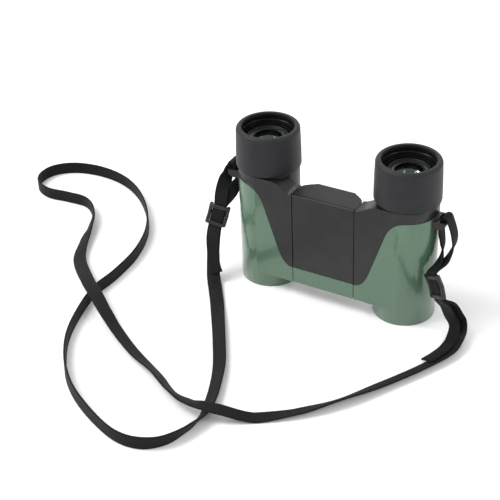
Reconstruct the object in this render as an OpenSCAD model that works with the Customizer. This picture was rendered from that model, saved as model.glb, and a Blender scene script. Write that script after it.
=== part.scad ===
// Compact folding binoculars with two side hinges and a neck strap.
// They stand on their objective ends. The origin lies on the standing surface, midway between
// the barrels: +X runs from the left barrel to the right one, +Z up to the eyecups,
// and -Y is the flat face of the bridge.

/* [Barrels] */
// Distance between the barrel axes when fully opened
axis_gap = 72; // [66:0.5:80]
// Outer radius of a barrel
barrel_r = 14.9; // [14:0.1:16]
// Height of a barrel without its eyecup
barrel_h = 62.4; // [58:0.1:72]
// Wall of the painted shell
shell_t = 1.2; // [0.9:0.1:1.6]
// Inner radius of the barrel's housing
tube_r = 12.4; // [12:0.1:12.8]
// Height of the black band under the eyecup
band_h = 5.8; // [4:0.1:8]

/* [Bridge] */
// Width of the bridge's face, seam to seam
bridge_w = 32; // [28:0.5:36]
// Height at which the bridge begins
bridge_z = 8; // [5:0.5:12]
// Height of the bridge's top face
bridge_top = 57.4; // [54:0.1:60]
// Thickness of a web between barrel and hinge
web_t = 10; // [9:0.5:12]
// Height of the green strip at the bridge's foot
strip_h = 8.4; // [6:0.1:12]
// Thickness of the bridge's covers
cover_t = 1.6; // [1.2:0.1:2]
// Width of the bridge's back face
back_w = 19.2; // [16:0.2:22]
// Gap at the seams
seam = 0.3; // [0.2:0.05:0.5]

/* [Hinges] */
// Radius of a hinge pin
pin_r = 1.25; // [1:0.05:1.5]
// Radius of a hinge knuckle
knuckle_r = 3; // [2.6:0.1:3.4]
// Thickness of the bridge's end plates at the hinges
plate_t = 4; // [3:0.5:6]
// Radial running clearance of shafts
run = 0.05; // [0.02:0.01:0.08]

/* [Eyepieces] */
// Height of an eyecup
cup_h = 20.1; // [16:0.1:24]
// Outer radius of an eyecup at its foot
cup_r = 15.7; // [15.2:0.1:17]
// Outer radius of an eyecup at its rim
cup_rim_r = 15.3; // [14.6:0.1:16.5]
// Inner radius of an eyecup's opening
cup_bore_r = 12.65; // [12.2:0.05:13]
// Depth from the rim down to the ocular ring
cup_depth = 5.5; // [5:0.1:12]
// Radius of the ocular ring's aperture
ocular_r = 6.6; // [6:0.1:7.4]

/* [Objectives] */
// Radius of an objective lens
objective_r = 11.3; // [10.8:0.1:11.5]
// Depth of the open mouth in front of an objective
mouth_h = 3.4; // [2.5:0.1:5]

/* [Focusing] */
// Radius of the focus wheel
wheel_r = 7; // [6.5:0.1:7.5]
// Width of the focus wheel
wheel_w = 12; // [10:0.5:14]
// Height of the focus wheel's middle
wheel_z = 43; // [42:0.5:44]
// Radius of the focusing spindle
spindle_r = 1.6; // [1.4:0.1:1.8]
// Height of the focusing collars' middle
collar_z = 23; // [22:0.5:24]
// Height of a focusing collar
collar_h = 4; // [3:0.5:5]
// Travel of the focusing carriers, each way
travel = 1.5; // [1:0.1:2]

/* [Strap] */
// Width of the strap's webbing
strap_w = 6.8; // [6:0.1:7]
// Thickness of the strap's webbing
strap_t = 1; // [0.8:0.1:1.2]
// Outer width of a slider
slider_w = 11; // [10.6:0.1:12]
// Outer length of a slider
slider_h = 11.5; // [10.5:0.5:12.5]

/* [Hidden] */
$fn = 64;

black = "#353538";
rubber = "#3a3b3f";
green = "#66806b";
steel = "#b9bcc0";
brass = "#c2a15a";
dark = "#1c1c1e";
glass = [0.72, 0.82, 0.86, 0.5];

eps = 0.01;                       // overlap that makes cuts run clean through
gap = 0.05;                       // fitting clearance between assembled pieces
air = 0.25;                       // free space round turning pieces
axis_x = axis_gap / 2;
face_y = -barrel_r;               // front plane of bridge and webs
web_back = face_y + web_t;
half_w = bridge_w / 2;
half_back = back_w / 2;
hinge_in = 4;                     // a pin lies this far inside the bridge's side
hinge_x = half_w - hinge_in;
hinge_y = web_back - 2.1;
web_x = half_w + seam;            // flat end of a web
plate_lo = bridge_z + plate_t;
plate_hi = bridge_top - plate_t;
washer_t = 0.3;
washer_play = 0.1;
neck = 1.9;                       // half width of the neck between web and knuckle
skin = shell_t + gap;             // how deep the housing lies under the painted shell
body_r = barrel_r - skin;
strip_top = bridge_z + strip_h;
cup_top = barrel_h + cup_h;
cup_foot = barrel_h + 0.25;
spigot_h = 3.5;
spigot_r = tube_r + 0.75;
band_z = barrel_h - band_h;
bevel = 0.6;                      // chamfer of a barrel's top edge
rise = barrel_h - bevel - bridge_top; // how far the web climbs up to the eyecup
climb = 11;                       // width of that climb
window_lo = collar_z - collar_h / 2 - travel - 1.2;
window_hi = collar_z + collar_h / 2 + travel + 1.2;
arm_t = 1.4;                      // thickness of a carrier's arm
core_r = 2.2;                     // groove of a focusing collar
fork_t = 1.4;                     // thickness of the yoke's forks
slide_r = tube_r - gap;           // outer radius of everything that fits a barrel's bore
glass_r = slide_r - 1.2;          // outer radius of the eyepiece's glass
spindle_y = -5.2;
spindle_lo = bridge_z + 5.8;
bush_r = 2.8;
nut_r = 2.5;
hub_r = nut_r + 0.85;
lug_out = 5.6;                    // how far a strap lug stands out of the barrel
lug_w = strap_w + 2.6;
lug_lo = band_z - 4.6;
lug_hi = band_z - 0.8;
lug_bar = 2.2;
lug_slot = 2.4;

// ---------- outlines ----------

// S-shaped top edge of a web, from the seam to the eyecup
function web_climb(n = 16) = [for (i = [0 : n])
    [half_w + climb * i / n, bridge_top + rise * (1 - cos(180 * i / n)) / 2]];

// Border between the black housing and the green shell, seen from the front
function bend(a, b, c, n = 8) = [for (i = [0 : n])
    let (t = i / n) a * (1 - t) * (1 - t) + b * 2 * t * (1 - t) + c * t * t];
function border() = concat(
    [[0, strip_top]],
    bend([half_w + 1, strip_top], [half_w + 5.3, strip_top + 0.6], [half_w + 8, strip_top + 8.6]),
    bend([half_w + 14.9, band_z - 11], [half_w + 18, band_z], [axis_x + 6, band_z]),
    [[axis_x + 3 * barrel_r, band_z]]);

// Everything inside the border, drawn lower by "drop"
module black_region(drop = 0) {
    translate([0, 3 * barrel_r, -drop]) rotate([90, 0, 0]) linear_extrude(6 * barrel_r)
        polygon(concat(border(), [[axis_x + 3 * barrel_r, 2 * cup_top], [0, 2 * cup_top]]));
}

// Ring about the z axis from its half section
module turned(points, x = 0, y = 0) {
    translate([x, y, 0]) rotate_extrude($fn = 96) polygon(points);
}

module tube(r_out, r_in, z0, z1, x = 0, y = 0) {
    translate([x, y, z0]) difference() {
        cylinder(r = r_out, h = z1 - z0, $fn = 96);
        translate([0, 0, -1]) cylinder(r = r_in, h = z1 - z0 + 2, $fn = 96);
    }
}

// Lens with its rim between z0 and z1, bulging by "below" and "above"
module lens(r, z0, z1, below, above) {
    n = 8;
    turned(concat(
        [for (i = [0 : n]) [r * i / n, z0 - below * (1 - pow(i / n, 2))]],
        [for (i = [n : -1 : 0]) [r * i / n, z1 + above * (1 - pow(i / n, 2))]]), axis_x);
}

module on_left() {
    mirror([1, 0, 0]) children();
}

module both_sides() {
    children();
    mirror([1, 0, 0]) children();
}

// ---------- barrel bodies, drawn for the right-hand side ----------

// Web between barrel and hinge, inset from its outer faces by "inset"
module web(inset) {
    translate([0, web_back - inset, 0]) rotate([90, 0, 0])
        linear_extrude(web_t - 2 * inset)
            polygon(concat([[axis_x, bridge_z + inset], [web_x, bridge_z + inset],
                            [web_x, bridge_top]],
                           [for (p = web_climb()) if (p[0] > web_x + 0.1) p],
                           [[axis_x, barrel_h - bevel]]));
}

module barrel_form(r, inset, z0) {
    translate([axis_x, 0, z0]) cylinder(r = r, h = barrel_h - bevel - z0, $fn = 96);
    translate([axis_x, 0, barrel_h - bevel]) cylinder(r1 = r, r2 = r - bevel, h = bevel, $fn = 96);
    web(inset);
}

module hinge_rod(r, z0, z1) {
    translate([hinge_x, hinge_y, z0]) cylinder(r = r, h = z1 - z0);
}

// Knuckle on the hinge pin with the neck that joins it to the web
module knuckle(z0, z1) {
    hinge_rod(knuckle_r, z0, z1);
    translate([hinge_x, hinge_y - neck, z0])
        cube([web_x - gap - hinge_x, 2 * neck, z1 - z0]);
    translate([hinge_x, hinge_y - neck, z0])
        cube([web_x + 0.5 - hinge_x, web_back - skin - gap - hinge_y + neck, z1 - z0]);
}

// Strap lug: a block with an upright slot, rounded along its outer edges
module lug() {
    base_x = axis_x + barrel_r - 1.4;
    out_x = axis_x + barrel_r + lug_out;
    low = 2.8;
    high = 0.8;
    difference() {
        translate([0, lug_w / 2, 0]) rotate([90, 0, 0]) linear_extrude(lug_w) polygon(concat(
            [[base_x, lug_lo]],
            [for (a = [-90 : 15 : 0])
                [out_x - low + low * cos(a), lug_lo + low + low * sin(a)]],
            [for (a = [0 : 15 : 90])
                [out_x - high + high * cos(a), lug_hi - high + high * sin(a)]],
            [[base_x, lug_hi]]));
        translate([out_x - lug_bar - lug_slot, -strap_w / 2 - 0.3, lug_lo - 1])
            cube([lug_slot, strap_w + 0.6, lug_hi - lug_lo + 2]);
    }
}

module arm_window(side_play) {
    translate([hinge_x, hinge_y - arm_t / 2 - side_play, window_lo])
        cube([axis_x - hinge_x, arm_t + 2 * side_play, window_hi - window_lo]);
}

module housing() {
    difference() {
        union() {
            intersection() {
                barrel_form(barrel_r, 0, 0);
                black_region();
            }
            barrel_form(body_r, skin, skin);
            tube(spigot_r, tube_r, barrel_h - 1, barrel_h + spigot_h, axis_x);
            knuckle(plate_lo + washer_t + washer_play, window_lo);
            knuckle(window_hi, plate_hi - washer_t - washer_play);
            lug();
        }
        translate([axis_x, 0, -1]) cylinder(r = tube_r, h = barrel_h + 9, $fn = 96);
        hinge_rod(pin_r + run, 0, barrel_h);
        arm_window(0.4);
    }
}

// Painted shell: the green skin over the lower and outer part of a barrel
module shell() {
    difference() {
        barrel_form(barrel_r, 0, 0);
        barrel_form(barrel_r - shell_t, shell_t, shell_t);
        black_region(gap);
        translate([axis_x, 0, -1]) cylinder(r = tube_r, h = barrel_h, $fn = 96);
        translate([axis_x + barrel_r - 4, -lug_w / 2 - gap, lug_lo - gap])
            cube([lug_out + 8, lug_w + 2 * gap, lug_hi - lug_lo + 2 * gap]);
    }
}

module left_housing() { color(black) on_left() housing(); }
module right_housing() { color(black) housing(); }
module left_shell() { color(green) on_left() shell(); }
module right_shell() { color(green) shell(); }

// ---------- bridge ----------

// Plan of the bridge between y0 and y1, with its chamfers towards the back
function side_at(y) = (y < web_back) ? half_w
    : half_w - (half_w - half_back) * (y - web_back) / (0 - web_back);
function bridge_plan(y0, y1) = (y0 < web_back && y1 > web_back)
    ? [[-half_w, y0], [half_w, y0], [half_w, web_back], [side_at(y1), y1],
       [-side_at(y1), y1], [-half_w, web_back]]
    : [[-side_at(y0), y0], [side_at(y0), y0], [side_at(y1), y1], [-side_at(y1), y1]];

module wedge(a0, a1, z0, z1) {
    far = 20;
    mid = (a0 + a1) / 2;
    translate([hinge_x, hinge_y, z0]) linear_extrude(z1 - z0)
        polygon([[0, 0], far * [cos(a0), sin(a0)], 2 * far * [cos(mid), sin(mid)],
                 far * [cos(a1), sin(a1)]]);
}

module screw_places() {
    for (x = [-1, 1], z = [bridge_z + 4.5, bridge_top - 4.4])
        translate([x * (half_back - 3), 0, z]) rotate([90, 0, 0]) children();
}

module bridge_frame() {
    color(black) difference() {
        translate([0, 0, bridge_z]) linear_extrude(bridge_top - bridge_z)
            polygon(bridge_plan(face_y + cover_t + gap, -cover_t - gap));
        both_sides() {
            hinge_rod(knuckle_r + air, plate_lo, plate_hi);
            wedge(-39, 90, plate_lo, plate_hi);
            hinge_rod(pin_r + gap, bridge_z - 1, bridge_top - 0.9);
            difference() {
                wedge(0, 53, bridge_z - 1, bridge_top + 1);
                hinge_rod(hinge_in, bridge_z - 2, bridge_top + 2);
            }
        }
        // room for the wheel, for the yoke, and the seats of the spindle's bushes
        translate([0, spindle_y, wheel_z - wheel_w / 2 - 0.4])
            cylinder(r = wheel_r + 0.4, h = wheel_w + 0.8, $fn = 96);
        translate([-hinge_x, face_y + cover_t + 1.6, window_lo])
            cube([2 * hinge_x, -face_y, window_hi - window_lo]);
        translate([0, spindle_y, spindle_lo]) cylinder(r = spindle_r + 0.4, h = plate_hi - spindle_lo);
        for (b = bush_seats)
            translate([0, spindle_y, b[0]]) cylinder(r = bush_r + gap, h = b[1]);
        screw_places() cylinder(r = 0.85, h = 5.5, $fn = 24);
    }
}

// lower end and height of each bush seat
bush_seats = [[spindle_lo, window_lo - spindle_lo + eps], [window_hi - eps, 4],
              [wheel_z + wheel_w / 2 + 0.3, 3.2]];

module bridge_face() {
    color(black) translate([0, 0, strip_top + gap])
        linear_extrude(bridge_top - strip_top - gap)
            polygon(bridge_plan(face_y, face_y + cover_t));
}

module bridge_strip() {
    color(green) translate([0, 0, bridge_z]) linear_extrude(strip_h)
        polygon(bridge_plan(face_y, face_y + cover_t));
}

module bridge_back() {
    color(black) difference() {
        translate([0, 0, bridge_z]) linear_extrude(bridge_top - bridge_z)
            polygon(bridge_plan(-cover_t, 0));
        translate([-wheel_r - 0.3, -cover_t - 1, wheel_z - wheel_w / 2 - 0.4])
            cube([2 * wheel_r + 0.6, cover_t + 2, wheel_w + 0.8]);
        screw_places() {
            translate([0, 0, -1]) cylinder(r = 0.9, h = cover_t + 3, $fn = 24);
            translate([0, 0, -1]) cylinder(r = 1.75, h = 1.85, $fn = 32);
        }
    }
}

module hinge_pin() {
    difference() {
        hinge_rod(pin_r, bridge_z + 0.3, bridge_top - 1);
        translate([hinge_x - 2, hinge_y - 0.2, bridge_z]) cube([4, 0.4, 0.9]);
    }
}

module left_hinge_pin() { color(steel) on_left() hinge_pin(); }
module right_hinge_pin() { color(steel) hinge_pin(); }

module hinge_washers() {
    color(brass) both_sides() {
        tube(knuckle_r - 0.1, pin_r + gap, plate_lo + gap, plate_lo + gap + washer_t,
             hinge_x, hinge_y);
        tube(knuckle_r - 0.1, pin_r + gap, plate_hi - gap - washer_t, plate_hi - gap,
             hinge_x, hinge_y);
    }
}

// Cross-head screws of the back cover
module cover_screws() {
    color(steel) screw_places() difference() {
        union() {
            translate([0, 0, 0.05]) cylinder(r = 1.65, h = 0.75, $fn = 32);
            translate([0, 0, 0.5]) cylinder(r = 0.8, h = 4.6, $fn = 24);
        }
        for (turn = [0, 90])
            rotate([0, 0, turn]) translate([-0.9, -0.2, -0.5]) cube([1.8, 0.4, 1]);
    }
}

// ---------- focusing ----------

module spindle_bushes() {
    color(brass) for (b = bush_seats)
        tube(bush_r, spindle_r + run, b[0] + 0.1, b[0] + b[1] - 0.1, 0, spindle_y);
}

module focus_wheel() {
    color(dark) tube(wheel_r - 0.9, spindle_r + gap, wheel_z - wheel_w / 2 + 0.2,
                     wheel_z + wheel_w / 2 - 0.2, 0, spindle_y);
}

module focus_grip() {
    ribs = 30;
    color(rubber) translate([0, spindle_y, wheel_z - wheel_w / 2]) difference() {
        cylinder(r = wheel_r, h = wheel_w, $fn = 96);
        translate([0, 0, -1]) cylinder(r = wheel_r - 0.9 + gap, h = wheel_w + 2, $fn = 96);
        for (i = [1 : ribs])
            rotate([0, 0, i * 360 / ribs]) translate([wheel_r + 0.15, 0, -1])
                cylinder(r = 0.45, h = wheel_w + 2, $fn = 16);
    }
}

module focus_spindle() {
    color(steel) translate([0, spindle_y, spindle_lo + 0.3])
        cylinder(r = spindle_r, h = plate_hi - spindle_lo - 1.2);
}

// Yoke with two forks that carry the collars on the hinge pins
module focus_yoke() {
    color(steel) difference() {
        union() {
            translate([0, spindle_y, collar_z - 2.5]) cylinder(r = hub_r, h = 5);
            translate([0, 0, collar_z - fork_t / 2]) linear_extrude(fork_t)
                polygon([[-hinge_x, hinge_y - 2.9], [hinge_x, hinge_y - 2.9],
                         [hinge_x, hinge_y + 2.9], [3, spindle_y + 2],
                         [-3, spindle_y + 2], [-hinge_x, hinge_y + 2.9]]);
            both_sides() hinge_rod(2.9, collar_z - fork_t / 2, collar_z + fork_t / 2);
        }
        translate([0, spindle_y, collar_z - 4]) cylinder(r = nut_r + gap, h = 8);
        both_sides() {
            hinge_rod(core_r + run, collar_z - 2, collar_z + 2);
            translate([hinge_x, hinge_y - core_r - run, collar_z - 2])
                cube([6, 2 * (core_r + run), 4]);
        }
    }
}

module yoke_nut() {
    color(brass) tube(nut_r, spindle_r + run, collar_z - 2.5, collar_z + 2.5, 0, spindle_y);
}

// Ring with the focusing lens, its arm and the grooved collar on the hinge pin
module focus_carrier() {
    lo = collar_z - collar_h / 2;
    difference() {
        union() {
            translate([axis_x, 0, collar_z - 4]) cylinder(r = slide_r, h = 8, $fn = 96);
            hinge_rod(knuckle_r - 0.05, lo, lo + collar_h);
            translate([hinge_x, hinge_y - arm_t / 2, lo])
                cube([axis_x - hinge_x - 6, arm_t, collar_h]);
        }
        difference() {
            hinge_rod(knuckle_r + 0.3, collar_z - 0.8, collar_z + 0.8);
            hinge_rod(core_r, collar_z - 1, collar_z + 1);
        }
        hinge_rod(pin_r + air, 0, barrel_h);
        translate([axis_x, 0, 0]) cylinder(r = slide_r - 1, h = collar_z + 1.2, $fn = 96);
        translate([axis_x, 0, 0]) cylinder(r = slide_r - 2, h = barrel_h, $fn = 96);
    }
}

module focus_lens() {
    lens(slide_r - 1 - gap, collar_z - 2.6, collar_z + 1, 0, 0.9);
}

module left_focus_carrier() { color(dark) on_left() focus_carrier(); }
module right_focus_carrier() { color(dark) focus_carrier(); }
module left_focus_lens() { color(glass) on_left() focus_lens(); }
module right_focus_lens() { color(glass) focus_lens(); }

// ---------- objectives ----------

cell_lo = 0.4;
cell_hi = 12;
ring_lo = cell_lo + mouth_h - 0.3;
mouth_r = objective_r + 0.3;

module objective_cell() {
    turned([[mouth_r, cell_lo], [slide_r, cell_lo], [slide_r, cell_hi],
            [objective_r - 1.1, cell_hi], [objective_r - 1.1, ring_lo + 5.1],
            [objective_r + gap, ring_lo + 5.1], [objective_r + gap, ring_lo],
            [mouth_r, ring_lo]], axis_x);
}

module objective_ring() {
    turned([[objective_r, ring_lo], [objective_r, ring_lo + 1.4],
            [objective_r - 1.2, ring_lo + 1.4], [objective_r - 0.8, ring_lo]], axis_x);
}

module objective_lens() {
    lens(objective_r, ring_lo + 1.65, ring_lo + 5.05, 1, 0);
}

module left_objective_cell() { color(dark) on_left() objective_cell(); }
module right_objective_cell() { color(dark) objective_cell(); }
module left_objective_ring() { color(dark) on_left() objective_ring(); }
module right_objective_ring() { color(dark) objective_ring(); }
module left_objective_lens() { color(glass) on_left() objective_lens(); }
module right_objective_lens() { color(glass) objective_lens(); }

// ---------- prisms ----------

cage_lo = 33;
cage_hi = 53.5;
prism_half = 8;                   // half width of the prisms
prism_lo = cage_lo + 2;

module prism_cage() {
    difference() {
        translate([axis_x, 0, cage_lo]) cylinder(r = slide_r, h = cage_hi - cage_lo, $fn = 96);
        translate([axis_x - prism_half - gap, -7 - gap, prism_lo - gap])
            cube([2 * prism_half + 2 * gap, 14 + 2 * gap, cage_hi]);
        translate([axis_x, 0, 0]) cylinder(r = 6.8, h = cage_hi);
    }
}

module prism(points) {
    translate([axis_x, 7, prism_lo]) rotate([90, 0, 0]) linear_extrude(14) polygon(points);
}

module half_prism() { prism([[-8, 0], [8, 0], [8, 1.5], [-5, 14.5], [-8, 11.5]]); }
module roof_prism() { prism([[8, 2.3], [8, 15.3], [6.6, 17], [-6.4, 17]]); }

module left_prism_cage() { color(dark) on_left() prism_cage(); }
module right_prism_cage() { color(dark) prism_cage(); }
module left_half_prism() { color(glass) on_left() half_prism(); }
module right_half_prism() { color(glass) half_prism(); }
module left_roof_prism() { color(glass) on_left() roof_prism(); }
module right_roof_prism() { color(glass) roof_prism(); }

// ---------- eyepieces ----------

ocular_top = cup_top - cup_depth;
ring_room = 2.1;                  // height of the dioptre ring's groove
eye_r = ocular_r + 0.6;

// Eyecup; with "groove" it also holds the dioptre ring
module eyecup(groove) {
    step = cup_foot + spigot_h + 0.1;
    rim = min(1.8, cup_rim_r - cup_bore_r - 0.6);
    round_rim = [for (a = [0 : 15 : 90])
        [cup_rim_r - rim + rim * cos(a), cup_top - rim + rim * sin(a)]];
    inside = groove
        ? [[cup_bore_r, step + ring_room], [cup_bore_r + 1.35, step + ring_room],
           [cup_bore_r + 1.35, step]]
        : [[cup_bore_r, step]];
    turned(concat([[spigot_r + run, cup_foot], [cup_r - 0.2, cup_foot], [cup_r, cup_foot + 0.2]],
                  round_rim,
                  [[cup_bore_r + 0.3, cup_top], [cup_bore_r, cup_top - 0.3]],
                  inside, [[spigot_r + run, step]]), axis_x);
}

module eyepiece_tube() {
    tube(slide_r, glass_r + gap, cage_hi + 1, ocular_top - 0.3, axis_x);
}

// Ring with a sloping collar that holds the eye lens
module ocular_ring() {
    lip_r = ocular_r + 3.1;
    turned([[glass_r, ocular_top - 3.4], [glass_r, ocular_top - 0.5], [lip_r + 0.15, ocular_top],
            [lip_r - 0.15, ocular_top], [ocular_r, ocular_top - 0.6], [ocular_r, ocular_top - 1.1],
            [eye_r + gap, ocular_top - 1.1], [eye_r + gap, ocular_top - 3.4]], axis_x);
}

module eye_lens() { lens(eye_r, ocular_top - 4.2, ocular_top - 1.4, 0.4, 1.1); }
module field_lens() { lens(glass_r, cage_hi + 2.5, cage_hi + 5.5, 0, 1.2); }

module left_eyecup() { color(rubber) on_left() eyecup(false); }
module right_eyecup() { color(rubber) eyecup(true); }
module left_eyepiece_tube() { color(dark) on_left() eyepiece_tube(); }
module right_eyepiece_tube() { color(dark) eyepiece_tube(); }
module left_ocular_ring() { color(dark) on_left() ocular_ring(); }
module right_ocular_ring() { color(dark) ocular_ring(); }
module left_eye_lens() { color(glass) on_left() eye_lens(); }
module right_eye_lens() { color(glass) eye_lens(); }
module left_field_lens() { color(glass) on_left() field_lens(); }
module right_field_lens() { color(glass) field_lens(); }

module right_dioptre_ring() {
    z0 = cup_foot + spigot_h + 0.1 + gap;
    color(brass) tube(cup_bore_r + 1.3, cup_bore_r, z0, z0 + ring_room - 2 * gap, axis_x);
}

// ---------- strap ----------

function unit(v) = v / norm(v);
function aim(az, el) = [cos(az) * cos(el), sin(az) * cos(el), sin(el)];

// Section of the webbing, width first
hw = strap_w / 2;
ht = strap_t / 2;
section = [[hw, 0.4 * ht], [hw - 0.3, ht], [-hw + 0.3, ht], [-hw, 0.4 * ht],
           [-hw, -0.4 * ht], [-hw + 0.3, -ht], [hw - 0.3, -ht], [hw, -0.4 * ht]];

// Webbing along points p, its width turned towards the directions w
module webbing(p, w) {
    n = len(p);
    m = len(section);
    run_of = [for (i = [0 : n - 1]) unit(p[min(i + 1, n - 1)] - p[max(i - 1, 0)])];
    flat_of = [for (i = [0 : n - 1]) unit(cross(run_of[i], w[i]))];
    wide_of = [for (i = [0 : n - 1]) cross(flat_of[i], run_of[i])];
    rings = [for (i = [0 : n - 1]) for (s = section) p[i] + wide_of[i] * s[0] + flat_of[i] * s[1]];
    sides = [for (i = [0 : n - 2]) for (j = [0 : m - 1]) each
        [[i * m + j, i * m + (j + 1) % m, (i + 1) * m + j],
         [i * m + (j + 1) % m, (i + 1) * m + (j + 1) % m, (i + 1) * m + j]]];
    ends = [[for (j = [m - 1 : -1 : 0]) j], [for (j = [0 : m - 1]) (n - 1) * m + j]];
    polyhedron(points = rings, faces = concat(sides, ends), convexity = 10);
}

// Lying part of the strap: x, y, lean of the webbing, lift off the surface
lying = [
    [-46, -38, 5, 0], [-32, -60, 25, 0], [-20, -80, 25, 0], [-15, -91, 30, 0],
    [-11, -102, 30, 0], [-8, -114, 45, 0], [-9, -124, 65, 0], [-14, -136, 80, 0],
    [-22, -142, 90, 0], [-34, -143, 90, 0], [-60, -132, 95, 0], [-75, -121, 95, 0],
    [-86, -108, 90, 0], [-95, -92, 90, 0], [-103, -61, 90, 0], [-102, -44, 90, 0],
    [-103, -24, 90, 0], [-109, -4, 90, 0], [-120, 13, 90, 0], [-136, 28, 90, 0],
    [-152, 36, 90, 0], [-170, 38, 90, 0], [-185, 34, 90, 0], [-193, 26, 90, 0],
    [-194, 17, 90, 0], [-190, 10, 90, 0], [-181, 6, 90, 0], [-168, 7, 90, 0],
    [-156, 7, 90, 0], [-147, 1, 85, 0], [-141, -9, 60, 0], [-136, -22, 35, 0],
    [-128, -38, 15, 1], [-108, -58, 0, 6], [-99, -65, 0, 6.6], [-88, -73, -10, 4.5],
    [-77, -80, -20, 1.5], [-60, -90, -25, 0], [-42, -99, -40, 0], [-29, -107, -45, 0.3],
    [-18, -111, -25, 2.6], [-10, -112, -10, 5], [-2, -110, 0, 4.6], [12, -103, 0, 0],
    [27, -92, -20, 0], [40, -78, -40, 0], [52, -59, -25, 0], [64, -38, -25, 0],
    [70, -25, -30, 0], [71, -18, -45, 0]];
function lie_z(q) = ht * abs(cos(q[2])) + hw * abs(sin(q[2])) + q[3];
function lie_run(i) = let (a = lying[max(i - 1, 0)], b = lying[min(i + 1, len(lying) - 1)])
    unit([b[0] - a[0], b[1] - a[1], 0]);
lying_p = [for (q = lying) [q[0], q[1], lie_z(q)]];
lying_w = [for (i = [0 : len(lying) - 1]) let (t = lie_run(i), e = lying[i][2])
    [-t[1] * cos(e), t[0] * cos(e), sin(e)]];

// Sliders: middle, direction along the webbing, direction across it
left_at = [-60.8, -9, 31];
left_up = unit([0.22, 0.17, 0.96]);
left_wide = unit([0.95, 0.1, -0.12]);
right_at = [56.2, -11.6, 26.4];
right_up = unit([-0.42, 0.2, 0.88]);
right_wide = unit([-0.78, 0.46, -0.42]);
layer = ht + 0.05;                // half distance between the two layers in a slider
reach = slider_h / 2 + 0.6;

function in_slider(at, up, wide, s, side) = at + up * s + unit(cross(wide, up)) * side * layer;

// Each end: x, y, z, then azimuth and elevation of the webbing's width
left_rise = [[-46.2, -37.7, 0.9, 30, 5], [-53, -28, 1.3, 20, 5], [-57.5, -21.8, 3.4, 10, 2],
             [-59.5, -18.3, 8.5, 2, -2], [-60.6, -15.6, 14.5, 3, -4],
             [-61.8, -12.2, 20.5, 6, -6]];
left_loop = [[-56.5, -4.6, 41.5, 18, -5], [-54.2, -1.6, 46, 60, 0], [-53.2, 0, 50.2, 90, 0],
             [-53.2, 0, 54.4, 90, 0], [-53.5, 0, 57.1, 90, 0], [-54.2, 0, 58.5, 90, 0],
             [-55.4, 0, 59.1, 90, 0], [-56.6, 0, 58.6, 90, 0], [-57.3, 0, 56.9, 90, 0],
             [-57.9, -1.6, 53, 72, 0], [-58.8, -4.4, 48, 38, -4], [-59.4, -7, 42, 12, -7]];
left_tail = [[-61.4, -13.4, 20.5, 5, -6], [-59.3, -17.9, 14, 3, -4],
             [-57.7, -20.2, 9, 0, 0], [-55.6, -21.6, 5, 4, 2]];
right_rise = [[71, -16.9, 2.9, 170, -45], [69.7, -9.5, 3.5, 168, -46], [67.9, -6.6, 6.6, 168, -38],
              [65.7, -7.2, 11, 168, -28], [63.3, -9, 16.8, 158, -28]];
right_loop = [[57.5, -5.5, 36, 134, -22], [59, -2, 39.8, 112, -12], [59.8, 0, 44, 95, -4],
              [59.7, 0, 47.5, 90, 0], [58.6, 0, 52, 90, 0], [57.3, 0, 55.4, 90, 0],
              [56.6, 0, 57.1, 90, 0], [55.4, 0, 57.6, 90, 0], [54.2, 0, 57, 90, 0],
              [53.5, 0, 55.6, 90, 0], [53.2, 0, 52.7, 90, 0], [53.2, 0, 49, 90, 0],
              [54, 0, 43.5, 95, -4], [55, -2.4, 38.9, 112, -12], [54.9, -6.4, 35, 134, -22]];
right_tail = [[61.4, -9.9, 15.6, 158, -28], [62.9, -8.5, 9.5, 168, -28],
              [65.1, -8.2, 5.4, 168, -34], [66.9, -14.5, 3, 174, -24], [67, -22, 2.6, 177, -22],
              [65.2, -30, 2.8, 180, -20], [63, -36.2, 3, 182, -18]];
function place(t) = [for (q = t) [q[0], q[1], q[2]]];
function width(t) = [for (q = t) aim(q[3], q[4])];

module strap() {
    color(dark) webbing(lying_p, lying_w);
}

module left_strap_end() {
    through = [for (e = [[-reach, -1], [reach, -1]])
        in_slider(left_at, left_up, left_wide, e[0], e[1])];
    back = [for (e = [[reach, 1], [-reach, 1]])
        in_slider(left_at, left_up, left_wide, e[0], e[1])];
    color(dark) webbing(
        concat(place(left_rise), through, place(left_loop), back, place(left_tail)),
        concat(width(left_rise), [left_wide, left_wide], width(left_loop),
               [left_wide, left_wide], width(left_tail)));
}

module right_strap_end() {
    through = [for (e = [[-reach, 1], [reach, 1]])
        in_slider(right_at, right_up, right_wide, e[0], e[1])];
    back = [for (e = [[reach, -1], [-reach, -1]])
        in_slider(right_at, right_up, right_wide, e[0], e[1])];
    color(dark) webbing(
        concat(place(right_rise), through, place(right_loop), back, place(right_tail)),
        concat(width(right_rise), [right_wide, right_wide], width(right_loop),
               [right_wide, right_wide], width(right_tail)));
}

// Slider: two side rails, a bar at each end in front and one across the middle behind
module slider(at, up, wide) {
    deep = unit(cross(wide, up));
    rail = (slider_w - strap_w) / 2 - 0.3;
    bar = 0.65;
    near = strap_t + 0.25;
    w = wide;
    d = deep;
    multmatrix([[w[0], up[0], d[0], at[0]], [w[1], up[1], d[1], at[1]],
                [w[2], up[2], d[2], at[2]], [0, 0, 0, 1]]) {
        for (x = [-slider_w / 2, slider_w / 2 - rail])
            translate([x, -slider_h / 2, -near - bar])
                cube([rail, slider_h, 2 * near + 2 * bar]);
        for (y = [-slider_h / 2, slider_h / 2 - 2])
            translate([-slider_w / 2 + eps, y, near]) cube([slider_w - 2 * eps, 2, bar]);
        translate([-slider_w / 2 + eps, -1.2, -near - bar])
            cube([slider_w - 2 * eps, 2.4, bar]);
    }
}

module left_slider() { color(dark) slider(left_at, left_up, left_wide); }
module right_slider() { color(dark) slider(right_at, right_up, -right_wide); }

// ---------- what is drawn ----------

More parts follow.
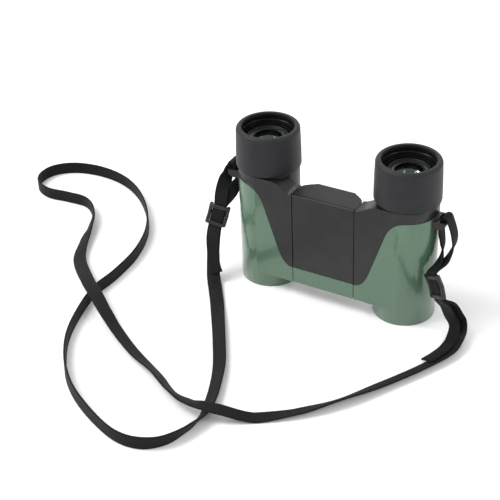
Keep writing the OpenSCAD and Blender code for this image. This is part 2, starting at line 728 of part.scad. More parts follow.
bridge_frame();
bridge_face();
bridge_strip();
bridge_back();
left_hinge_pin();
right_hinge_pin();
hinge_washers();
cover_screws();
spindle_bushes();
focus_wheel();
focus_grip();
focus_spindle();
focus_yoke();
yoke_nut();
left_housing();
left_shell();
left_eyecup();
left_eyepiece_tube();
left_ocular_ring();
left_eye_lens();
left_field_lens();
left_prism_cage();
left_half_prism();
left_roof_prism();
left_objective_cell();
left_objective_lens();
left_objective_ring();
left_focus_carrier();
left_focus_lens();
right_housing();
right_shell();
right_eyecup();
right_eyepiece_tube();
right_ocular_ring();
right_eye_lens();
right_field_lens();
right_prism_cage();
right_half_prism();
right_roof_prism();
right_objective_cell();
right_objective_lens();
right_objective_ring();
right_focus_carrier();
right_focus_lens();
right_dioptre_ring();
strap();
left_strap_end();
right_strap_end();
left_slider();
right_slider();
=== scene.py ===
"""Looks of a pair of compact folding binoculars standing on their objectives, with the neck strap
thrown loosely on the table in front of them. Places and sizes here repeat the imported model's."""

import math

import bmesh
import bpy
from mathutils import Matrix, Vector


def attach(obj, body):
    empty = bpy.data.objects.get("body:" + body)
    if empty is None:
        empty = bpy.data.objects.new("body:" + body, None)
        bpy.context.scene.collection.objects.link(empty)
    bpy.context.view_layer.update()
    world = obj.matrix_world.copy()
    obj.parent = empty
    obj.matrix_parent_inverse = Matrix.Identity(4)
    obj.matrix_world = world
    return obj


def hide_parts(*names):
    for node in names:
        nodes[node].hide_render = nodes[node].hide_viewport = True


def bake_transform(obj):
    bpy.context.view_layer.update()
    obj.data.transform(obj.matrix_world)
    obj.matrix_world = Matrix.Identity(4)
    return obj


MM = 0.001

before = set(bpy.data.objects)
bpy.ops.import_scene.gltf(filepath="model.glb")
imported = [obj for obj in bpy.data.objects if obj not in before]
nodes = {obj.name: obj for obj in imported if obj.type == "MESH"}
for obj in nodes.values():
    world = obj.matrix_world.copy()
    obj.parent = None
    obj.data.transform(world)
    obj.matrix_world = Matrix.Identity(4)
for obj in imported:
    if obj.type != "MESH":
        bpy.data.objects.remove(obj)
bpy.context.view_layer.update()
SIDES = ("left", "right")
SENSOR_WIDTH = 36  # mm


# ---------- camera ----------

CAMERA_TARGET = Vector((-75.7, 45.7, -27.7)) * MM
CAMERA_DISTANCE = 714.5 * MM
CAMERA_AZIMUTH = math.radians(30.66)
CAMERA_ELEVATION = math.radians(33.83)
CAMERA_ROLL = math.radians(-2.38)
CAMERA_LENS = 92.43  # mm


def set_camera():
    """The camera stands in front of the bridge, to the right and above."""
    data = bpy.data.cameras.new("camera")
    data.lens = CAMERA_LENS
    data.sensor_width = SENSOR_WIDTH
    data.clip_end = 20
    camera = bpy.data.objects.new("camera", data)
    bpy.context.scene.collection.objects.link(camera)
    turn = (
        Matrix.Rotation(CAMERA_AZIMUTH, 4, "Z")
        @ Matrix.Rotation(math.pi / 2 - CAMERA_ELEVATION, 4, "X")
        @ Matrix.Rotation(CAMERA_ROLL, 4, "Z")
    )
    back = turn @ Vector((0, 0, CAMERA_DISTANCE))
    camera.matrix_world = Matrix.Translation(CAMERA_TARGET + back) @ turn
    bpy.context.scene.camera = camera


set_camera()


# ---------- materials ----------

WAVES_PER_SCALE = 20  # a wave texture turns through this many radians a unit at scale 1
PICK_PITCH = 0.9 * MM  # real picks are 0.4 mm apart; drawn coarser so that the weave shows


def linear(hex_code):
    """sRGB hex, such as "66806B", as linear red, green, blue and alpha 1."""
    parts = [int(hex_code[i : i + 2], 16) / 255 for i in (0, 2, 4)]
    return [p / 12.92 if p <= 0.04045 else ((p + 0.055) / 1.055) ** 2.4 for p in parts] + [1.0]


def put(tree, kind, inputs=None, **settings):
    """Adds a node. A setting is an attribute; an input is a value, or the socket that feeds it."""
    added = tree.nodes.new("ShaderNode" + kind)
    for name, value in settings.items():
        setattr(added, name, value)
    for name, value in (inputs or {}).items():
        if isinstance(value, bpy.types.NodeSocket):
            tree.links.new(value, added.inputs[name])
        else:
            added.inputs[name].default_value = value
    return added


def new_material(name, surface):
    """An empty material whose shader has these constant values; gives the material, tree and shader."""
    material = bpy.data.materials.new(name)
    material.use_nodes = True
    tree = material.node_tree
    shader = tree.nodes["Principled BSDF"]
    for key, value in surface.items():
        shader.inputs[key].default_value = value
    return material, tree, shader


def feed(tree, source, shader, name):
    tree.links.new(source, shader.inputs[name])


def spread(tree, fac, low, high):
    """Maps a 0 to 1 pattern onto low to high."""
    return put(tree, "MapRange", {"Value": fac, "To Min": low, "To Max": high}).outputs["Result"]


def grain(tree, size, detail=2.0, source="Object"):
    """Noise whose lumps are about that size across, in metres."""
    place = put(tree, "TexCoord").outputs[source]
    noise = put(tree, "TexNoise", {"Vector": place, "Scale": 1 / size, "Detail": detail})
    return noise.outputs["Fac"]


def bump(tree, height, depth, strength=1.0):
    """A normal from a 0 to 1 height pattern that is that deep, in metres."""
    return put(
        tree, "Bump", {"Height": height, "Distance": depth, "Strength": strength}
    ).outputs["Normal"]


def tint(tree, fac, low, high):
    """Colour that goes from one hex code to another with a 0 to 1 pattern."""
    ramp = put(tree, "ValToRGB", {"Fac": fac})
    ramp.color_ramp.elements[0].color = linear(low)
    ramp.color_ramp.elements[1].color = linear(high)
    ramp.color_ramp.elements[0].position = 0.3
    ramp.color_ramp.elements[1].position = 0.7
    return ramp.outputs["Color"]


def tool_rings(tree, pitch, wobble):
    """A 0 to 1 pattern of rings that far apart along the optical axis, in metres."""
    place = put(tree, "TexCoord").outputs["Object"]
    scale = 2 * math.pi / pitch / WAVES_PER_SCALE
    return put(
        tree, "TexWave", {"Vector": place, "Scale": scale, "Distortion": wobble}, bands_direction="Z"
    ).outputs["Fac"]


def moulded_abs():
    """ABS from a spark-eroded mould: an even satin black whose fine grain breaks up highlights."""
    material, tree, shader = new_material("moulded_abs", {"IOR": 1.54, "Specular IOR Level": 0.36})
    feed(tree, tint(tree, grain(tree, 6 * MM), "151517", "1B1B1D"), shader, "Base Color")
    feed(tree, spread(tree, grain(tree, 1.2 * MM), 0.32, 0.40), shader, "Roughness")
    # real grit is about 0.05 mm; it is drawn at 0.25 mm so that it shows
    feed(tree, bump(tree, grain(tree, 0.25 * MM, 3.0), 0.012 * MM), shader, "Normal")
    return material


def green_lacquer():
    """Sprayed two-coat lacquer on metal: grey-green under a clear coat, with long soft reflections."""
    material, tree, shader = new_material(
        "green_lacquer",
        {"IOR": 1.5, "Metallic": 0.15, "Coat Weight": 0.7, "Coat Roughness": 0.08, "Coat IOR": 1.5},
    )
    feed(tree, tint(tree, grain(tree, 0.35 * MM, 4.0), "42604A", "4C6853"), shader, "Base Color")
    feed(tree, spread(tree, grain(tree, 2.5 * MM), 0.26, 0.34), shader, "Roughness")
    # orange peel of a sprayed coat, about 1.5 mm from crest to crest
    feed(tree, bump(tree, grain(tree, 1.5 * MM, 1.0), 0.006 * MM), shader, "Normal")
    return material


def moulded_rubber():
    """Thermoplastic rubber with a mat mould texture: slightly bluish black, dull, with soft edges."""
    material, tree, shader = new_material(
        "moulded_rubber",
        {"IOR": 1.52, "Sheen Weight": 0.05, "Sheen Roughness": 0.5, "Specular IOR Level": 0.3},
    )
    feed(tree, tint(tree, grain(tree, 8 * MM), "141518", "1A1B1E"), shader, "Base Color")
    feed(tree, spread(tree, grain(tree, 1.5 * MM), 0.52, 0.62), shader, "Roughness")
    feed(tree, bump(tree, grain(tree, 0.22 * MM, 3.0), 0.014 * MM), shader, "Normal")
    return material


def black_anodising():
    """Turned and black anodised aluminium: fine tool rings that catch thin lines of light."""
    material, tree, shader = new_material("black_anodising", {"Metallic": 0.6})
    feed(tree, tint(tree, grain(tree, 2 * MM), "0B0B0D", "151517"), shader, "Base Color")
    rings = tool_rings(tree, 0.5 * MM, 0.0)
    feed(tree, spread(tree, rings, 0.32, 0.46), shader, "Roughness")
    feed(tree, bump(tree, rings, 0.02 * MM), shader, "Normal")
    return material


def optical_glass():
    """Optical glass with a faint green mirror from its coating. Its grey tint is painted shade: it
    darkens what shows through the glass, standing in for the dark inside of the barrels.
    """
    material, tree, shader = new_material(
        "optical_glass",
        {"IOR": 1.52, "Transmission Weight": 1.0, "Specular Tint": linear("CFE8DC")},
    )
    # painted shade: this grey tint dims the light through the glass so the lenses look dark, as shade
    # inside the barrels makes them look
    feed(tree, tint(tree, grain(tree, 30 * MM), "6E7E80", "78868A"), shader, "Base Color")
    feed(tree, spread(tree, grain(tree, 4 * MM), 0.0, 0.02), shader, "Roughness")
    return material


def turned_metal(name, dark, light):
    """Bare turned metal: fine rings along its axis, a narrow spread of brightness."""
    material, tree, shader = new_material(name, {"Metallic": 1.0})
    feed(tree, tint(tree, grain(tree, 1.5 * MM), dark, light), shader, "Base Color")
    rings = tool_rings(tree, 0.25 * MM, 0.5)
    feed(tree, spread(tree, rings, 0.22, 0.36), shader, "Roughness")
    feed(tree, bump(tree, rings, 0.004 * MM), shader, "Normal")
    return material


def nylon_webbing():
    """Woven black nylon: soft sheen, ribs along it and the small slanted steps of the weave."""
    material, tree, shader = new_material(
        "nylon_webbing",
        {"IOR": 1.53, "Sheen Weight": 0.04, "Sheen Roughness": 0.4, "Specular IOR Level": 0.2},
    )
    uv = put(tree, "TexCoord").outputs["UV"]  # u is metres across the webbing, v metres along it
    parts = put(tree, "SeparateXYZ", {"Vector": uv})
    slant = put(
        tree, "Math", {0: parts.outputs["X"], 1: parts.outputs["Y"]}, operation="ADD"
    ).outputs[0]
    turns = put(
        tree, "Math", {0: slant, 1: 2 * math.pi / PICK_PITCH}, operation="MULTIPLY"
    ).outputs[0]
    picks = put(tree, "Math", {0: turns}, operation="SINE").outputs[0]
    steps = put(
        tree, "MapRange", {"Value": picks, "From Min": -1.0, "From Max": 1.0}
    ).outputs["Result"]
    fuzz = grain(tree, 0.3 * MM, 3.0)
    height = put(tree, "Math", {0: steps, 1: fuzz}, operation="ADD").outputs[0]
    feed(tree, tint(tree, fuzz, "030303", "0A0A0B"), shader, "Base Color")
    feed(tree, spread(tree, steps, 0.62, 0.78), shader, "Roughness")
    feed(tree, bump(tree, height, 0.05 * MM), shader, "Normal")
    return material


def moulded_acetal():
    """Injection-moulded acetal: smooth black with a clear, slightly waxy shine."""
    material, tree, shader = new_material("moulded_acetal", {"IOR": 1.48})
    feed(tree, tint(tree, grain(tree, 3 * MM), "0C0C0D", "131315"), shader, "Base Color")
    feed(tree, spread(tree, grain(tree, 0.8 * MM), 0.22, 0.34), shader, "Roughness")
    feed(tree, bump(tree, grain(tree, 0.6 * MM), 0.006 * MM), shader, "Normal")
    return material


def white_table():
    """Matt white laminate."""
    material, tree, shader = new_material("white_table", {"Specular IOR Level": 0.1})
    feed(tree, tint(tree, grain(tree, 60 * MM), "F6F6F6", "F9F9F9"), shader, "Base Color")
    feed(tree, spread(tree, grain(tree, 20 * MM), 0.85, 0.95), shader, "Roughness")
    return material


ABS = moulded_abs()
GREEN = green_lacquer()
RUBBER = moulded_rubber()
ANODISED = black_anodising()
GLASS = optical_glass()
STEEL = turned_metal("turned_steel", "9B9DA0", "B4B6B9")
BRASS = turned_metal("turned_brass", "B08F4A", "C8A862")
WEBBING = nylon_webbing()
ACETAL = moulded_acetal()

# finish of each CAD node, by the end of its name
FINISHES = {
    "bridge_frame": ABS,
    "bridge_face": ABS,
    "bridge_back": ABS,
    "bridge_strip": GREEN,
    "hinge_pin": STEEL,
    "hinge_washers": BRASS,
    "cover_screws": STEEL,
    "spindle_bushes": BRASS,
    "focus_wheel": ANODISED,
    "focus_grip": RUBBER,
    "focus_spindle": STEEL,
    "focus_yoke": STEEL,
    "yoke_nut": BRASS,
    "housing": ABS,
    "shell": GREEN,
    "eyecup": RUBBER,
    "eyepiece_tube": ANODISED,
    "ocular_ring": ANODISED,
    "eye_lens": GLASS,
    "field_lens": GLASS,
    "prism_cage": ANODISED,
    "half_prism": GLASS,
    "roof_prism": GLASS,
    "objective_cell": ANODISED,
    "objective_lens": GLASS,
    "objective_ring": ANODISED,
    "focus_carrier": ANODISED,
    "focus_lens": GLASS,
    "dioptre_ring": BRASS,
    "strap": WEBBING,
    "strap_end": WEBBING,
    "slider": ACETAL,
}


def dress_cad_nodes():
    """Gives each CAD node its finish."""
    for name, thing in nodes.items():
        base = name.removeprefix("left_").removeprefix("right_")
        thing.data.materials.clear()
        thing.data.materials.append(FINISHES[base])


dress_cad_nodes()


# ---------- making pieces ----------


def new_piece(name, mesh, material, body, slot, *replaced):
    """Puts a finished mesh in the scene as a piece that rides on a body and replaces CAD nodes."""
    thing = bpy.data.objects.new(name, mesh)
    bpy.context.scene.collection.objects.link(thing)
    mesh.materials.append(material)
    if body:
        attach(thing, body)
    if replaced:
        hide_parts(*replaced)
    return thing


def smooth(mesh, angle=35):
    """Smooth shading with edges sharper than the angle, in degrees, kept sharp."""
    mesh.shade_smooth()
    mesh.set_sharp_from_angle(angle=math.radians(angle))


# ---------- moulded edges ----------


def round_edges(name, radius, angle=40):
    """Rounds the sharp edges of a CAD node, as its mould does, so that they catch thin highlights.
    Doubled corners are welded first, or the bevel finds no edges to round."""
    thing = nodes[name]
    weld = thing.modifiers.new("weld", "WELD")
    weld.merge_threshold = 0.001 * MM
    bevel = thing.modifiers.new("rounding", "BEVEL")
    bevel.width = radius
    bevel.segments = 2
    bevel.limit_method = "ANGLE"
    bevel.angle_limit = math.radians(angle)
    bevel.harden_normals = True


for side in SIDES:
    round_edges(side + "_housing", 0.3 * MM)
    round_edges(side + "_shell", 0.25 * MM)
for name in ("bridge_face", "bridge_strip", "bridge_back"):
    round_edges(name, 0.3 * MM)


# ---------- turned and moulded pieces ----------

BARREL_X = 36 * MM  # from the middle to each optical axis
ROUND_STEPS = 128
ON_AXIS = 1e-6  # a radius below this, in mm, is a single point


def axis_of(side):
    """Foot of a barrel's optical axis."""
    return Vector((-BARREL_X if side == "left" else BARREL_X, 0, 0))


def turned_mesh(name, profile, axis, inner=lambda r, z: False):
    """Revolves a closed profile of (radius, height) in mm about an upright axis. Where inner(r, z)
    holds at the middle of a stretch, its faces get the second material."""
    b = bmesh.new()
    rings = []
    for r, z in profile:
        if r < ON_AXIS:
            rings.append([b.verts.new(axis + Vector((0, 0, z * MM)))])
            continue
        rings.append([
            b.verts.new(axis + Vector((math.cos(t) * r * MM, math.sin(t) * r * MM, z * MM)))
            for t in (2 * math.pi * k / ROUND_STEPS for k in range(ROUND_STEPS))
        ])  # fmt: skip
    for i in range(len(rings)):
        j = (i + 1) % len(rings)
        low, high = rings[i], rings[j]
        if len(low) == 1 and len(high) == 1:
            continue
        middle = [(profile[i][c] + profile[j][c]) / 2 for c in (0, 1)]
        for k in range(ROUND_STEPS):
            n = (k + 1) % ROUND_STEPS
            corners = [low[k % len(low)], low[n % len(low)], high[n % len(high)], high[k % len(high)]]
            face = b.faces.new(list(dict.fromkeys(corners)))
            face.material_index = 1 if inner(*middle) else 0
    bmesh.ops.recalc_face_normals(b, faces=b.faces)
    mesh = bpy.data.meshes.new(name)
    b.to_mesh(mesh)
    b.free()
    smooth(mesh, 40)
    return mesh


def arc(r, z, radius, start, end, steps=6):
    """Points of a rounding about (r, z), in mm and degrees."""
    turns = [math.radians(start + (end - start) * k / steps) for k in range(steps + 1)]
    return [(r + radius * math.cos(t), z + radius * math.sin(t)) for t in turns]


def cap(r, z, bulge, steps=14):
    """Spherical lens surface from its middle out to its rim at height z, in mm."""
    if bulge == 0:
        return [(0, z), (r, z)]
    ball = (r * r + bulge * bulge) / (2 * abs(bulge))
    sign = math.copysign(1, bulge)
    height = lambda q: z + sign * (math.sqrt(ball * ball - q * q) - (ball - abs(bulge)))
    return [(r * k / steps, height(r * k / steps)) for k in range(steps + 1)]


def lens_profile(r, low, high, below, above):
    """Lens whose rim stands between two heights, bulging below and above it, in mm."""
    return cap(r, low, -below) + list(reversed(cap(r, high, above)))


# heights and radii in mm
CUP_FOOT = 62.65
CUP_TOP = 82.5
OCULAR_TOP = 77.0
SLEEVE_TOP = 80.9
SLEEVE_R = 12.69
GROOVE_R = 12.6
FOOT_R = 13.2
APERTURE_R = 6.6
RING_R = 11.15


def make_eyecup(side):
    """Rubber cup with a rounded rim, lined with a smooth dark sleeve."""
    profile = [(FOOT_R, CUP_FOOT)]
    profile += arc(15.45, CUP_FOOT + 0.25, 0.25, -90, 0, 3)
    profile += [(15.69, CUP_FOOT + 3), (15.62, CUP_FOOT + 8), (15.45, CUP_TOP - 6)]
    profile += arc(13.5, CUP_TOP - 1.8, 1.8, 0, 90, 10)
    profile += arc(12.95, CUP_TOP - 0.3, 0.3, 90, 180, 3)
    profile += [(12.65, SLEEVE_TOP), (SLEEVE_R, SLEEVE_TOP - 0.05)]
    # a fine step just above the ocular, then straight down to the foot
    profile += [(SLEEVE_R, 78.9), (GROOVE_R, 78.8), (GROOVE_R, 78.3), (SLEEVE_R, 78.2)]
    profile += [(SLEEVE_R, 77.7)]
    foot = CUP_FOOT + 3.6
    if side == "left":
        profile += [(SLEEVE_R, foot + 2.2), (SLEEVE_R, foot)]
    else:
        profile += [(SLEEVE_R, foot + 2.1), (14, foot + 2.1), (14, foot)]
    profile += [(FOOT_R, foot)]
    lining = lambda r, z: r < 13 and z < SLEEVE_TOP
    mesh = turned_mesh(side + "_rubber_eyecup", profile, axis_of(side), lining)
    body = "left_barrel" if side == "left" else "dioptre"
    new_piece(side + "_rubber_eyecup", mesh, RUBBER, body, "rubber", side + "_eyecup")
    mesh.materials.append(ACETAL)


def make_ocular(side):
    """Black ring with a thin raised lip and a shallow cone to its aperture, and its eye lens."""
    top = OCULAR_TOP
    body = "left_barrel" if side == "left" else "ocular"
    ring = [(RING_R, top - 3.4), (RING_R, top - 0.5), (10.6, top - 0.42), (10.3, top - 0.2)]
    ring += arc(9.7, top - 0.12, 0.12, 0, 180, 4) + [(9.2, top - 0.35), (8.6, top - 0.35)]
    ring += [(8.5, top - 0.45), (APERTURE_R, top - 0.62), (APERTURE_R, top - 1.1)]
    ring += [(7.25, top - 1.1), (7.25, top - 3.4)]
    mesh = turned_mesh(side + "_ocular_lip", ring, axis_of(side))
    new_piece(side + "_ocular_lip", mesh, ANODISED, body, "inner_black", side + "_ocular_ring")
    shape = lens_profile(7.2, top - 4.2, top - 1.4, 0.4, 1.1)
    mesh = turned_mesh(side + "_eye_glass", shape, axis_of(side))
    new_piece(side + "_eye_glass", mesh, GLASS, body, "coated_glass", side + "_eye_lens")


def make_objective(side):
    """Coated front lens at the foot of a barrel."""
    shape = lens_profile(11.3, 5.15, 8.55, 1.0, 0)
    mesh = turned_mesh(side + "_front_glass", shape, axis_of(side))
    body = side + "_barrel"
    new_piece(side + "_front_glass", mesh, GLASS, body, "coated_glass", side + "_objective_lens")


for side in SIDES:
    make_eyecup(side)
    make_ocular(side)
    make_objective(side)


# ---------- strap ----------

STRAP_WIDTH = 6.8 * MM
STRAP_THICK = 1 * MM
RIBS = 7  # lengthwise ribs of the webbing
STEPS_PER_RIB = 4
STRAP_STEP = 1.2 * MM  # longest stretch between two rings
CLEAR_OF_TABLE = 0.05 * MM

# the lying part: x, y, lean of the webbing in degrees, lift off the table
LYING = [
    (-46, -38, 5, 0), (-32, -60, 25, 0), (-20, -80, 25, 0), (-15, -91, 30, 0),
    (-11, -102, 30, 0), (-8, -114, 45, 0), (-9, -124, 65, 0), (-14, -136, 80, 0),
    (-22, -142, 90, 0), (-34, -143, 90, 0), (-60, -132, 95, 0), (-75, -121, 95, 0),
    (-86, -108, 90, 0), (-95, -92, 90, 0), (-103, -61, 90, 0), (-102, -44, 90, 0),
    (-103, -24, 90, 0), (-109, -4, 90, 0), (-120, 13, 90, 0), (-136, 28, 90, 0),
    (-152, 36, 90, 0), (-170, 38, 90, 0), (-185, 34, 90, 0), (-193, 26, 90, 0),
    (-194, 17, 90, 0), (-190, 10, 90, 0), (-181, 6, 90, 0), (-168, 7, 90, 0),
    (-156, 7, 90, 0), (-147, 1, 85, 0), (-141, -9, 60, 0), (-136, -22, 35, 0),
    (-128, -38, 15, 1), (-108, -58, 0, 6), (-99, -65, 0, 6.6), (-88, -73, -10, 4.5),
    (-77, -80, -20, 1.5), (-60, -90, -25, 0), (-42, -99, -40, 0), (-29, -107, -45, 0.3),
    (-18, -111, -25, 2.6), (-10, -112, -10, 5), (-2, -110, 0, 4.6), (12, -103, 0, 0),
    (27, -92, -20, 0), (40, -78, -40, 0), (52, -59, -25, 0), (64, -38, -25, 0),
    (70, -25, -30, 0), (71, -18, -45, 0),
]  # fmt: skip

# the ends: x, y, z, then azimuth and elevation of the webbing's width in degrees
LEFT_RISE = [
    (-46.2, -37.7, 0.9, 30, 5), (-53, -28, 1.3, 20, 5), (-57.5, -21.8, 3.4, 10, 2),
    (-59.5, -18.3, 8.5, 2, -2), (-60.6, -15.6, 14.5, 3, -4), (-61.8, -12.2, 20.5, 6, -6),
]  # fmt: skip
LEFT_LOOP = [
    (-56.5, -4.6, 41.5, 18, -5), (-54.2, -1.6, 46, 60, 0), (-53.2, 0, 50.2, 90, 0),
    (-53.2, 0, 54.4, 90, 0), (-53.5, 0, 57.1, 90, 0), (-54.2, 0, 58.5, 90, 0),
    (-55.4, 0, 59.1, 90, 0), (-56.6, 0, 58.6, 90, 0), (-57.3, 0, 56.9, 90, 0),
    (-57.9, -1.6, 53, 72, 0), (-58.8, -4.4, 48, 38, -4), (-59.4, -7, 42, 12, -7),
]  # fmt: skip
LEFT_TAIL = [
    (-61, -14.8, 20.5, 5, -6), (-59.3, -17.9, 14, 3, -4), (-57.7, -20.2, 9, 0, 0),
    (-55.6, -21.6, 5, 4, 2),
]  # fmt: skip
RIGHT_RISE = [
    (71, -17.4, 2.9, 170, -45), (69.7, -9.5, 3.5, 168, -46), (67.9, -6.6, 6.6, 168, -38),
    (65.7, -7.2, 11, 168, -28), (63.3, -9, 16.8, 158, -28),
]  # fmt: skip
RIGHT_LOOP = [
    (57.5, -5.5, 36, 134, -22), (59, -2, 39.8, 112, -12), (59.8, 0, 44, 95, -4),
    (59.7, 0, 47.5, 90, 0), (58.6, 0, 52, 90, 0), (57.3, 0, 55.4, 90, 0), (56.6, 0, 57.1, 90, 0),
    (55.4, 0, 57.6, 90, 0), (54.2, 0, 57, 90, 0), (53.5, 0, 55.6, 90, 0), (53.2, 0, 52.7, 90, 0),
    (53.2, 0, 49, 90, 0), (54, 0, 43.5, 95, -4), (55, -2.4, 38.9, 112, -12),
    (54.9, -6.4, 35, 134, -22),
]  # fmt: skip
RIGHT_TAIL = [
    (61.1, -10.4, 15.6, 158, -28), (62.9, -8.5, 9.5, 168, -28), (65.1, -8.2, 5.4, 168, -34),
    (66.9, -14.5, 3, 174, -24), (67, -22, 2.6, 177, -22), (65.2, -30, 2.8, 180, -20),
    (63, -36.2, 3, 182, -18),
]  # fmt: skip

# sliders: middle in mm, direction along the webbing, direction across it
SLIDERS = {
    "left": (Vector((-60.8, -9, 31)), Vector((0.22, 0.17, 0.96)), Vector((0.95, 0.1, -0.12))),
    "right": (Vector((56.2, -11.6, 26.4)), Vector((-0.42, 0.2, 0.88)), Vector((-0.78, 0.46, -0.42))),
}
LAYER = 0.55  # half distance between the two layers in a slider, mm
REACH = 6.35  # how far the webbing runs straight from a slider's middle, mm


def aim(azimuth, elevation):
    """Direction with that azimuth and elevation, in degrees."""
    a, e = math.radians(azimuth), math.radians(elevation)
    return Vector((math.cos(a) * math.cos(e), math.sin(a) * math.cos(e), math.sin(e)))


def lying_stations():
    """Place and width direction of the webbing at each point of the lying part, in mm."""
    stations = []
    half_w, half_t = STRAP_WIDTH / MM / 2, STRAP_THICK / MM / 2
    for i, (x, y, lean, lift) in enumerate(LYING):
        before, after = LYING[max(i - 1, 0)], LYING[min(i + 1, len(LYING) - 1)]
        along = Vector((after[0] - before[0], after[1] - before[1], 0)).normalized()
        e = math.radians(lean)
        z = half_t * abs(math.cos(e)) + half_w * abs(math.sin(e)) + lift
        wide = Vector((-along.y * math.cos(e), along.x * math.cos(e), math.sin(e)))
        stations.append((Vector((x, y, z)), wide))
    return stations


def end_stations(side, rise, loop, tail, first):
    """Stations from the table up through the slider, round the lug and back; "first" is the
    slider's layer that the rising run takes."""
    middle, up, wide = SLIDERS[side]
    deep = wide.cross(up).normalized()
    listed = lambda rows: [(Vector(row[:3]), aim(row[3], row[4])) for row in rows]
    inside = lambda s, layer: (middle + up.normalized() * s + deep * layer * LAYER, wide)
    steps = (-REACH, -REACH / 2, 0, REACH / 2, REACH)
    through = [inside(s, first) for s in steps]
    back = [inside(-s, -first) for s in steps]
    return listed(rise) + through + listed(loop) + back + listed(tail)


def smooth_route(stations):
    """A dense centripetal Catmull-Rom route through the stations, in metres, as (place, width),
    and where in it each station stands."""
    places = [s[0] * MM for s in stations]
    widths = [s[1].normalized() for s in stations]
    places = [2 * places[0] - places[1]] + places + [2 * places[-1] - places[-2]]
    widths = [widths[0]] + widths + [widths[-1]]
    route, marks = [], []
    for i in range(1, len(places) - 2):
        p0, p1, p2, p3 = places[i - 1 : i + 3]
        t1 = (p1 - p0).length ** 0.5
        t2 = t1 + (p2 - p1).length ** 0.5
        t3 = t2 + (p3 - p2).length ** 0.5
        count = max(2, math.ceil((p2 - p1).length / STRAP_STEP))
        marks.append(len(route))
        for k in range(count):
            t = t1 + (t2 - t1) * k / count
            a1 = p0.lerp(p1, t / t1)
            a2 = p1.lerp(p2, (t - t1) / (t2 - t1))
            a3 = p2.lerp(p3, (t - t2) / (t3 - t2))
            b1 = a1.lerp(a2, t / t2)
            b2 = a2.lerp(a3, (t - t1) / (t3 - t1))
            ease = (t - t1) / (t2 - t1)
            route.append(
                (b1.lerp(b2, ease), widths[i].lerp(widths[i + 1], ease * ease * (3 - 2 * ease)))
            )
    marks.append(len(route))
    route.append((places[-2], widths[-2]))
    return route, marks


def webbing_section():
    """Cross-section of the webbing as (across, up) in metres: rounded edges, ribbed faces."""
    half_w, half_t = STRAP_WIDTH / 2, STRAP_THICK / 2
    face = []
    steps = RIBS * STEPS_PER_RIB
    for i in range(steps + 1):
        s = i / steps
        rib = 0.80 + 0.20 * abs(math.sin(math.pi * RIBS * s))
        edge = min(1, (1 - abs(2 * s - 1)) * 9)
        face.append(((2 * s - 1) * half_w, half_t * rib * (0.25 + 0.75 * math.sqrt(edge))))
    return face + [(a, -u) for a, u in reversed(face)]


def webbing_mesh(name, route):
    """The webbing along a route of (place, width direction), closed at both ends. A ring that would
    dip under the table is lifted on to it."""
    section = webbing_section()
    m = len(section)
    b = bmesh.new()
    uv = b.loops.layers.uv.new("webbing")
    rings, along = [], [0.0]
    for i, (place, wide) in enumerate(route):
        tangent = (route[min(i + 1, len(route) - 1)][0] - route[max(i - 1, 0)][0]).normalized()
        flat = tangent.cross(wide).normalized()
        across = flat.cross(tangent)
        ring = [place + across * a + flat * u for a, u in section]
        lift = Vector((0, 0, max(0, CLEAR_OF_TABLE - min(spot.z for spot in ring))))
        rings.append([b.verts.new(spot + lift) for spot in ring])
        if i:
            along.append(along[-1] + (place - route[i - 1][0]).length)
    for i in range(len(rings) - 1):
        for j in range(m):
            k = (j + 1) % m
            f = b.faces.new((rings[i][j], rings[i][k], rings[i + 1][k], rings[i + 1][j]))
            for loop, (u, v) in zip(
                f.loops,
                ((section[j][0], along[i]), (section[k][0], along[i]),
                 (section[k][0], along[i + 1]), (section[j][0], along[i + 1])),
            ):  # fmt: skip
                loop[uv].uv = (u, v)
    b.faces.new(rings[0])
    b.faces.new(list(reversed(rings[-1])))
    bmesh.ops.recalc_face_normals(b, faces=b.faces)
    mesh = bpy.data.meshes.new(name)
    b.to_mesh(mesh)
    b.free()
    smooth(mesh, 60)
    return mesh


def make_strap():
    """One length of webbing, threaded through both lugs and sliders, split where it bends freely:
    the lying part rides on the bridge and the two ends are not attached to any body."""
    left = end_stations("left", LEFT_RISE, LEFT_LOOP, LEFT_TAIL, -1)
    right = end_stations("right", RIGHT_RISE, RIGHT_LOOP, RIGHT_TAIL, 1)
    lying = lying_stations()
    route, marks = smooth_route(list(reversed(left)) + lying + right)
    first, last = marks[len(left) - 1], marks[len(left) + len(lying) - 1]
    parts = {
        "left_strap_end": list(reversed(route[: first + 1])),
        "strap": route[first : last + 1],
        "right_strap_end": route[last:],
    }
    for name, part in parts.items():
        mesh = webbing_mesh(name + "_webbing", part)
        body = "bridge" if name == "strap" else None
        piece = new_piece(name + "_webbing", mesh, WEBBING, body, "webbing", name)
        if not body:
            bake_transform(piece)  # fmt: skip


make_strap()


# ---------- sliders ----------


BAR_SIDES = 16
BAR_SQUARENESS = 0.6  # 1 is an ellipse, less is squarer
BAR_END = 0.75  # size of a bar's end against its middle


def sweep_bar(b, path, across, half_w, half_t):
    """Adds a bar with a rounded section along a path; "across" is the direction of its width."""
    squarer = lambda v: math.copysign(abs(v) ** BAR_SQUARENESS, v)
    section = [
        (squarer(math.cos(t)) * half_w, squarer(math.sin(t)) * half_t)
        for t in (2 * math.pi * k / BAR_SIDES for k in range(BAR_SIDES))
    ]
    rings = []
    for i, place in enumerate(path):
        along = (path[min(i + 1, len(path) - 1)] - path[max(i - 1, 0)]).normalized()
        thick = along.cross(across).normalized()
        size = BAR_END if i in (0, len(path) - 1) else 1
        rings.append([b.verts.new(place + across * a * size + thick * t * size) for a, t in section])
    for low, high in zip(rings, rings[1:]):
        for k in range(BAR_SIDES):
            n = (k + 1) % BAR_SIDES
            b.faces.new((low[k], low[n], high[n], high[k]))
    b.faces.new(rings[0])
    b.faces.new(list(reversed(rings[-1])))


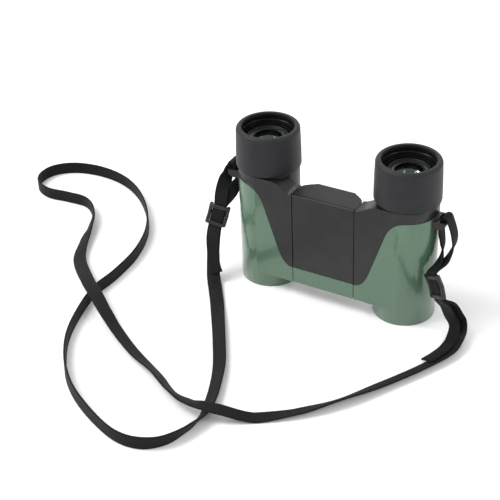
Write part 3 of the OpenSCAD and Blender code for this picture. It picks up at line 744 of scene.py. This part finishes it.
def make_slider(side):
    """Moulded tri-glide: two slim rails, joined in front of the webbing at both ends and behind it
    across the middle."""
    middle, up, wide = SLIDERS[side]
    up, wide = up.normalized(), wide.normalized() * (1 if side == "left" else -1)
    deep = wide.cross(up).normalized()
    spot = lambda x, y, z: (middle + wide * x + up * y + deep * z) * MM
    b = bmesh.new()
    for x in (-4.6, 4.6):
        path = [spot(x, y, z) for y, z in ((-5.7, 0.5), (-5.4, 0.45), (-3.6, 0.2), (0, -0.2),
                                            (3.6, 0.2), (5.4, 0.45), (5.7, 0.5))]  # fmt: skip
        sweep_bar(b, path, wide, 0.88 * MM, 1.0 * MM)
    for y, z, half in ((-4.75, 1.45, 0.95), (0, -1.45, 1.1), (4.75, 1.45, 0.95)):
        path = [spot(x, y, z * k) for x, k in ((-5.2, 0.2), (-4.9, 0.5), (-4.1, 0.92), (-2, 1),
                                               (0, 1.02), (2, 1), (4.1, 0.92), (4.9, 0.5),
                                               (5.2, 0.2))]  # fmt: skip
        sweep_bar(b, path, up, half * MM, 0.34 * MM)
    bmesh.ops.recalc_face_normals(b, faces=b.faces)
    mesh = bpy.data.meshes.new(side + "_tri_glide")
    b.to_mesh(mesh)
    b.free()
    smooth(mesh, 50)
    body = side + "_barrel"
    new_piece(side + "_tri_glide", mesh, ACETAL, body, "slider_plastic", side + "_slider")


for side in SIDES:
    make_slider(side)


# ---------- stage ----------


TABLE_HALF = 3.0


def make_table():
    """A plain white table that everything stands on."""
    half = TABLE_HALF
    mesh = bpy.data.meshes.new("table")
    mesh.from_pydata([(-half, -half, 0), (half, -half, 0), (half, half, 0), (-half, half, 0)], [],
                     [(0, 1, 2, 3)])  # fmt: skip
    mesh.materials.append(white_table())
    table = bpy.data.objects.new("table", mesh)
    bpy.context.scene.collection.objects.link(table)


def soft_light(name, place, size, power, target=(0, 0, 0.04)):
    """A rectangular lamp that faces the target. Places and sizes are in metres, power in watts."""
    data = bpy.data.lights.new(name, "AREA")
    data.shape = "RECTANGLE"
    data.size, data.size_y = size
    data.energy = power
    lamp = bpy.data.objects.new(name, data)
    bpy.context.scene.collection.objects.link(lamp)
    lamp.location = place
    lamp.rotation_euler = (Vector(target) - Vector(place)).to_track_quat("-Z", "Y").to_euler()


def light_stage():
    """Even white surroundings, three soft lamps and two strips."""
    world = bpy.data.worlds.new("studio")
    world.use_nodes = True
    bpy.context.scene.world = world
    background = world.node_tree.nodes["Background"]
    background.inputs["Color"].default_value = (1, 1, 1, 1)
    background.inputs["Strength"].default_value = 0.75
    soft_light("window_left", (-0.6, -0.35, 0.9), (0.5, 0.7), 9.0)
    soft_light("window_right", (0.9, 0.1, 0.5), (0.2, 0.7), 2.5)
    soft_light("front_fill", (0.2, -1.2, 0.6), (0.8, 0.5), 3.0)
    # two upright strips behind draw the short highlights in the lenses and along the top edges
    soft_light("strip_back_left", (-0.85, 0.75, 0.85), (0.10, 0.45), 1.6)
    soft_light("strip_back_right", (-0.15, 1.1, 0.85), (0.10, 0.45), 1.6)
    bpy.context.scene.view_settings.view_transform = "Standard"


make_table()
light_stage()
